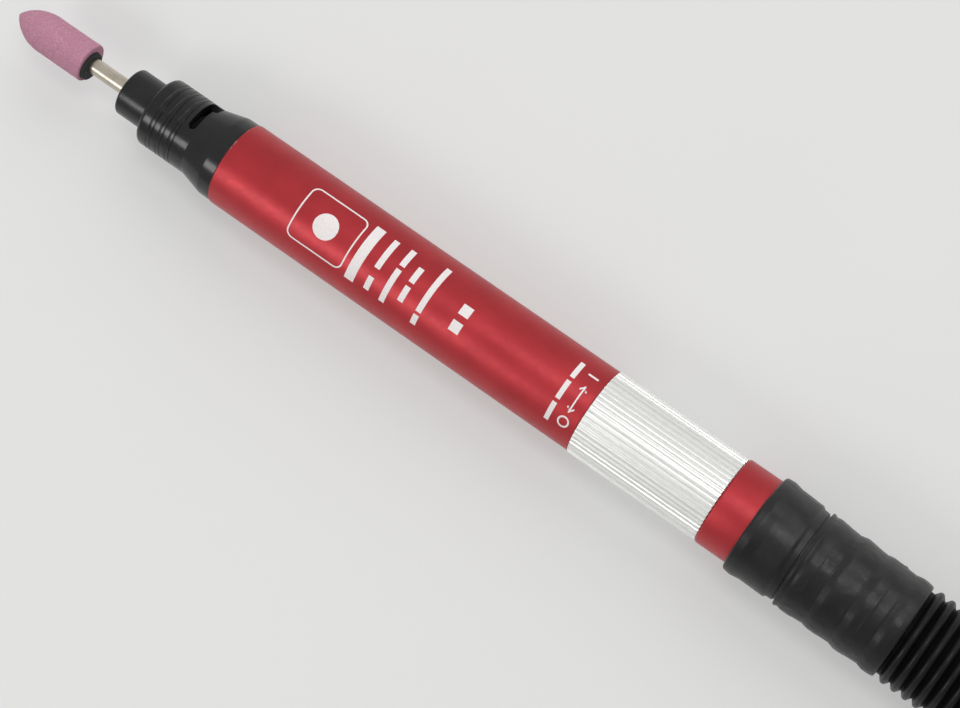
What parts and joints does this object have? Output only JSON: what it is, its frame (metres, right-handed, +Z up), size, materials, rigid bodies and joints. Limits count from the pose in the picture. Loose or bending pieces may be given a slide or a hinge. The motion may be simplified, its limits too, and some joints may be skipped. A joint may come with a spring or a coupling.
{
  "type": "air die grinder",
  "caption": "Pencil-style air die grinder with a mounted point in a collet, knurled throttle ring and corrugated rear exhaust hose around the air hose.",
  "frame": {"origin": "on the tool axis at the front edge of the motor housing", "axes": "+X along the tool axis towards the hose, +Z up through the middle of the off and on marks, +Y on the spanner slot's side"},
  "size_m": [0.2869, 0.0186, 0.0186],
  "materials": {
    "stone": "open-grained vitrified pink aluminium oxide",
    "black_bush": "matt",
    "shank_steel": "bright drawn, warm nickel tint",
    "black_steel": "black oxide, satin",
    "spring_steel": "ground",
    "steel": "turned and ground",
    "black_anodised": "black anodised, satin",
    "felt": "felt",
    "bearing_steel": "polished",
    "phenolic": "pressed fibre",
    "bare_aluminium": "turned",
    "brass": "turned",
    "seal_rubber": "smooth",
    "knurled_aluminium": "straight knurled, clear anodised",
    "red_anodised": "red anodised, satin",
    "air_hose_rubber": "smooth",
    "cuff_rubber": "matt, moulded",
    "hose_rubber": "semi-matt"
  },
  "bodies": {
    "barrel_group": {"motor_housing": "red_anodised", "nose_cap": "black_anodised", "nose_seal": "felt", "front_bearing_outer": "bearing_steel", "front_plate": "steel", "cylinder_liner": "steel", "locating_pin": "steel", "rear_plate": "steel", "rear_bearing_outer": "bearing_steel", "manifold": "bare_aluminium", "supply_tube": "brass", "valve_body": "bare_aluminium", "valve_o_rings": "seal_rubber", "stop_pin": "steel", "rear_cap": "red_anodised", "hose_barb": "brass", "hose_ferrule": "bare_aluminium", "air_hose": "air_hose_rubber", "hose_cuff": "cuff_rubber", "exhaust_hose": "hose_rubber"},
    "spindle_group": {"spindle": "black_steel", "front_bearing_inner": "bearing_steel", "rear_bearing_inner": "bearing_steel", "rotor": "steel", "rotor_vanes": "phenolic"},
    "front_cage_group": {"front_bearing_balls": "bearing_steel", "front_bearing_cage": "phenolic"},
    "rear_cage_group": {"rear_bearing_balls": "bearing_steel", "rear_bearing_cage": "phenolic"},
    "collet_group": {"collet": "spring_steel"},
    "nut_group": {"collet_nut": "black_steel"},
    "point_group": {"mandrel": "shank_steel", "stone_bushing": "black_bush", "grinding_stone": "stone"},
    "ring_group": {"throttle_ring": "knurled_aluminium"},
    "hose_end_group": {"inlet_fitting": "brass", "inlet_ferrule": "bare_aluminium"}
  },
  "joints": [
    {"name": "spindle_spin", "type": "hinge", "parent": "barrel_group", "child": "spindle_group", "pos_m": [0.0034, 0, 0], "axis": [1, 0, 0], "continuous": true},
    {"name": "front_cage_orbit", "type": "hinge", "parent": "barrel_group", "child": "front_cage_group", "pos_m": [0.0034, 0, 0], "axis": [1, 0, 0], "continuous": true},
    {"name": "rear_cage_orbit", "type": "hinge", "parent": "barrel_group", "child": "rear_cage_group", "pos_m": [0.043, 0, 0], "axis": [1, 0, 0], "continuous": true},
    {"name": "collet_release", "type": "slide", "parent": "spindle_group", "child": "collet_group", "axis": [-1, 0, 0], "range_m": [0, 0.0015]},
    {"name": "nut_turn", "type": "hinge", "parent": "collet_group", "child": "nut_group", "pos_m": [-0.0239, 0, 0], "axis": [-1, 0, 0], "range_deg": [0, 720.5]},
    {"name": "point_pull", "type": "slide", "parent": "collet_group", "child": "point_group", "axis": [-1, 0, 0], "range_m": [0, 0.025]},
    {"name": "throttle_turn", "type": "hinge", "parent": "barrel_group", "child": "ring_group", "pos_m": [0.09, 0, 0], "axis": [-1, 0, 0], "range_deg": [0, 60]},
    {"name": "hose_flex", "type": "hinge", "parent": "barrel_group", "child": "hose_end_group", "pos_m": [0.173, 0, 0], "axis": [0, 0, 1], "range_deg": [-25, 25], "deforming": ["exhaust_hose", "air_hose"]}
  ],
  "couplings": [
    {"joint": "front_cage_orbit", "follows": "spindle_spin", "ratio": 0.41111},
    {"joint": "rear_cage_orbit", "follows": "spindle_spin", "ratio": 0.39286},
    {"joint": "nut_turn", "follows": "collet_release", "rad_per_m": 8377.6}
  ]
}
